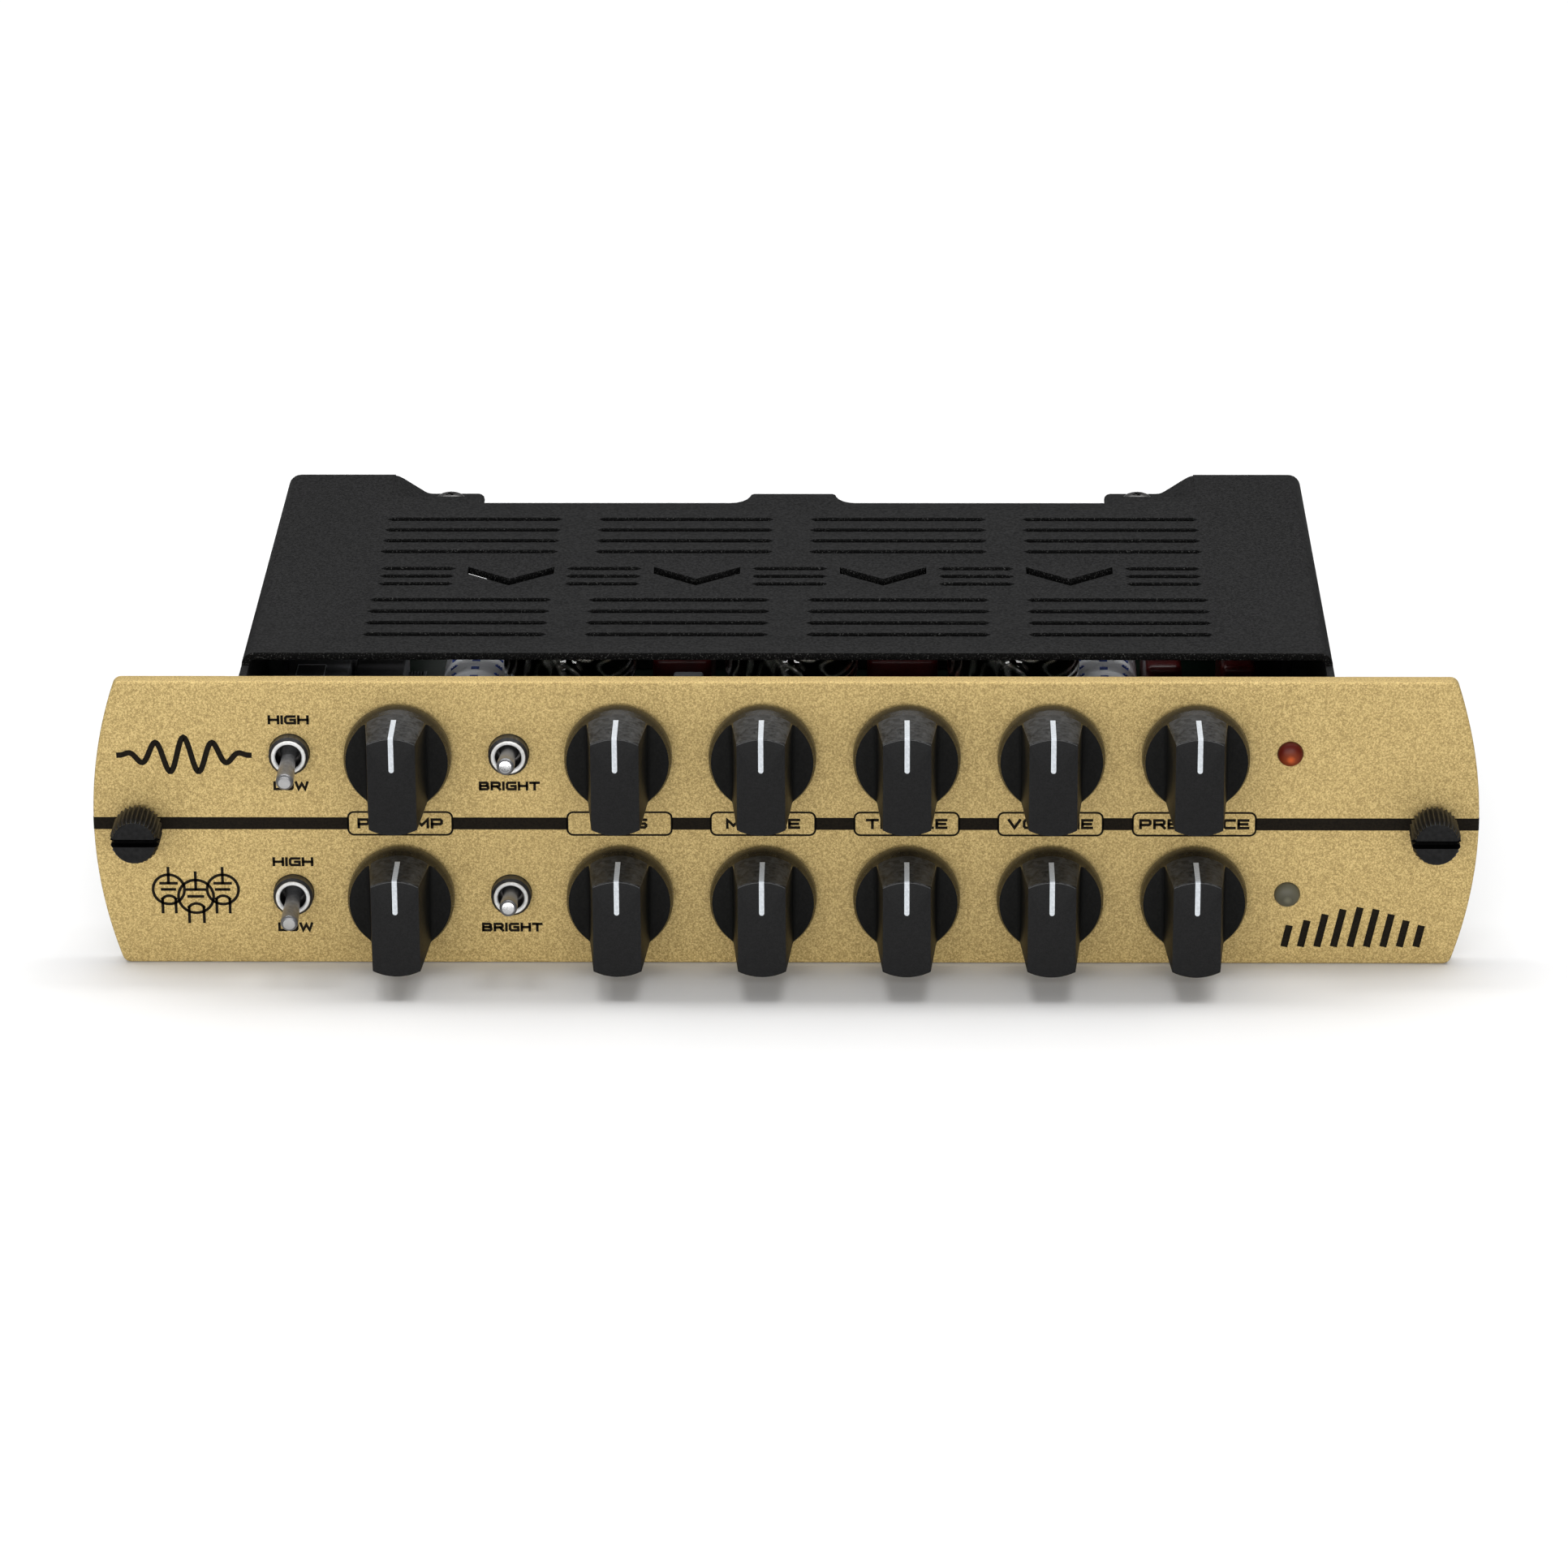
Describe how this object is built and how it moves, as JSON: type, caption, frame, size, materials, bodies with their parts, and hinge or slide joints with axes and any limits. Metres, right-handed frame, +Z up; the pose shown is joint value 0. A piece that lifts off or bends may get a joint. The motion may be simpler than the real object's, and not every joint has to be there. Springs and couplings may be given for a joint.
{
  "type": "tube preamp module",
  "caption": "Half-rack-width plug-in tube preamp module: gold panel with pointer knobs, toggles, lamps and thumbscrews ahead of a vented black sheet-metal cover.",
  "frame": {"origin": "centre of the module's box, on the surface that it stands on", "axes": "+X to the right along the front panel, +Y from the front panel to the rear connector, +Z up"},
  "size_m": [0.219, 0.1264, 0.0476],
  "materials": {
    "gold_paint": "satin metallic paint with a fine sparkle grain",
    "black_powder_coat": "fine-textured matt powder coat",
    "tray_steel": "fine-textured matt powder coat",
    "black_plastic": "glossy sides with a satin front",
    "pot_metal": "satin plated",
    "bright_metal": "bright plated",
    "red_lens": "clear tinted",
    "grey_lens": "clear tinted",
    "black_screw": "black oxide",
    "green_board": "satin solder mask",
    "tube_glass": "clear glass",
    "socket_plastic": "matt",
    "connector_plastic": "matt",
    "white_sleeve": "satin film sleeve",
    "red_film": "satin",
    "relay_grey": "satin"
  },
  "bodies": {
    "module": {"axial_capacitor_1": "white_sleeve", "axial_capacitor_2": "white_sleeve", "chassis_tray": "tray_steel", "control_board": "green_board", "cover_screw_left": "bright_metal", "cover_screw_right": "bright_metal", "film_capacitor_1": "red_film", "film_capacitor_2": "red_film", "film_capacitor_3": "red_film", "film_capacitor_4": "red_film", "front_panel": "gold_paint", "led_lower": "grey_lens", "led_upper": "red_lens", "main_board": "green_board", "pot_lower_bass": "pot_metal", "pot_lower_middle": "pot_metal", "pot_lower_preamp": "pot_metal", "pot_lower_presence": "pot_metal", "pot_lower_treble": "pot_metal", "pot_lower_volume": "pot_metal", "pot_upper_bass": "pot_metal", "pot_upper_middle": "pot_metal", "pot_upper_preamp": "pot_metal", "pot_upper_presence": "pot_metal", "pot_upper_treble": "pot_metal", "pot_upper_volume": "pot_metal", "rear_connector": "connector_plastic", "relay_1": "relay_grey", "relay_2": "relay_grey", "toggle_lower_bright": "pot_metal", "toggle_lower_range": "pot_metal", "toggle_upper_bright": "pot_metal", "toggle_upper_range": "pot_metal", "top_cover": "black_powder_coat", "tube_1": "tube_glass", "tube_2": "tube_glass", "tube_3": "tube_glass", "tube_socket_1": "socket_plastic", "tube_socket_2": "socket_plastic", "tube_socket_3": "socket_plastic"},
    "knob_upper_preamp": {"knob_upper_preamp": "black_plastic"},
    "knob_upper_bass": {"knob_upper_bass": "black_plastic"},
    "knob_upper_middle": {"knob_upper_middle": "black_plastic"},
    "knob_upper_treble": {"knob_upper_treble": "black_plastic"},
    "knob_upper_volume": {"knob_upper_volume": "black_plastic"},
    "knob_upper_presence": {"knob_upper_presence": "black_plastic"},
    "knob_lower_preamp": {"knob_lower_preamp": "black_plastic"},
    "knob_lower_bass": {"knob_lower_bass": "black_plastic"},
    "knob_lower_middle": {"knob_lower_middle": "black_plastic"},
    "knob_lower_treble": {"knob_lower_treble": "black_plastic"},
    "knob_lower_volume": {"knob_lower_volume": "black_plastic"},
    "knob_lower_presence": {"knob_lower_presence": "black_plastic"},
    "lever_upper_range": {"lever_upper_range": "bright_metal"},
    "lever_upper_bright": {"lever_upper_bright": "bright_metal"},
    "lever_lower_range": {"lever_lower_range": "bright_metal"},
    "lever_lower_bright": {"lever_lower_bright": "bright_metal"},
    "retaining_ring_left": {"retaining_ring_left": "bright_metal"},
    "thumbscrew_left": {"thumbscrew_left": "black_screw"},
    "retaining_ring_right": {"retaining_ring_right": "bright_metal"},
    "thumbscrew_right": {"thumbscrew_right": "black_screw"}
  },
  "joints": [
    {"name": "knob_upper_preamp_turn", "type": "hinge", "parent": "module", "child": "knob_upper_preamp", "pos_m": [-0.0609, -0.04805, 0.0357], "axis": [0, 1, 0], "range_deg": [-150, 150]},
    {"name": "knob_upper_bass_turn", "type": "hinge", "parent": "module", "child": "knob_upper_bass", "pos_m": [-0.0262, -0.04805, 0.0357], "axis": [0, 1, 0], "range_deg": [-150, 150]},
    {"name": "knob_upper_middle_turn", "type": "hinge", "parent": "module", "child": "knob_upper_middle", "pos_m": [-0.0035, -0.04805, 0.0357], "axis": [0, 1, 0], "range_deg": [-150, 150]},
    {"name": "knob_upper_treble_turn", "type": "hinge", "parent": "module", "child": "knob_upper_treble", "pos_m": [0.0192, -0.04805, 0.0357], "axis": [0, 1, 0], "range_deg": [-150, 150]},
    {"name": "knob_upper_volume_turn", "type": "hinge", "parent": "module", "child": "knob_upper_volume", "pos_m": [0.0419, -0.04805, 0.0357], "axis": [0, 1, 0], "range_deg": [-150, 150]},
    {"name": "knob_upper_presence_turn", "type": "hinge", "parent": "module", "child": "knob_upper_presence", "pos_m": [0.0646, -0.04805, 0.0357], "axis": [0, 1, 0], "range_deg": [-150, 150]},
    {"name": "knob_lower_preamp_turn", "type": "hinge", "parent": "module", "child": "knob_lower_preamp", "pos_m": [-0.0609, -0.04805, 0.0119], "axis": [0, 1, 0], "range_deg": [-150, 150]},
    {"name": "knob_lower_bass_turn", "type": "hinge", "parent": "module", "child": "knob_lower_bass", "pos_m": [-0.0262, -0.04805, 0.0119], "axis": [0, 1, 0], "range_deg": [-150, 150]},
    {"name": "knob_lower_middle_turn", "type": "hinge", "parent": "module", "child": "knob_lower_middle", "pos_m": [-0.0035, -0.04805, 0.0119], "axis": [0, 1, 0], "range_deg": [-150, 150]},
    {"name": "knob_lower_treble_turn", "type": "hinge", "parent": "module", "child": "knob_lower_treble", "pos_m": [0.0192, -0.04805, 0.0119], "axis": [0, 1, 0], "range_deg": [-150, 150]},
    {"name": "knob_lower_volume_turn", "type": "hinge", "parent": "module", "child": "knob_lower_volume", "pos_m": [0.0419, -0.04805, 0.0119], "axis": [0, 1, 0], "range_deg": [-150, 150]},
    {"name": "knob_lower_presence_turn", "type": "hinge", "parent": "module", "child": "knob_lower_presence", "pos_m": [0.0646, -0.04805, 0.0119], "axis": [0, 1, 0], "range_deg": [-150, 150]},
    {"name": "lever_upper_range_flick", "type": "hinge", "parent": "module", "child": "lever_upper_range", "pos_m": [-0.0781, -0.04685, 0.0357], "axis": [1, 0, 0], "range_deg": [-14, 0]},
    {"name": "lever_upper_bright_flick", "type": "hinge", "parent": "module", "child": "lever_upper_bright", "pos_m": [-0.0435, -0.04685, 0.0357], "axis": [1, 0, 0], "range_deg": [0, 14]},
    {"name": "lever_lower_range_flick", "type": "hinge", "parent": "module", "child": "lever_lower_range", "pos_m": [-0.0781, -0.04685, 0.0119], "axis": [1, 0, 0], "range_deg": [-14, 0]},
    {"name": "lever_lower_bright_flick", "type": "hinge", "parent": "module", "child": "lever_lower_bright", "pos_m": [-0.0435, -0.04685, 0.0119], "axis": [1, 0, 0], "range_deg": [0, 14]},
    {"name": "thumbscrew_left_pull", "type": "slide", "parent": "module", "child": "retaining_ring_left", "axis": [0, -1, 0], "range_m": [0, 0.0048]},
    {"name": "thumbscrew_left_turn", "type": "hinge", "parent": "retaining_ring_left", "child": "thumbscrew_left", "pos_m": [-0.1022, -0.04805, 0.0238], "axis": [0, 1, 0], "continuous": true},
    {"name": "thumbscrew_right_pull", "type": "slide", "parent": "module", "child": "retaining_ring_right", "axis": [0, -1, 0], "range_m": [0, 0.0048]},
    {"name": "thumbscrew_right_turn", "type": "hinge", "parent": "retaining_ring_right", "child": "thumbscrew_right", "pos_m": [0.1022, -0.04805, 0.0238], "axis": [0, 1, 0], "continuous": true}
  ]
}
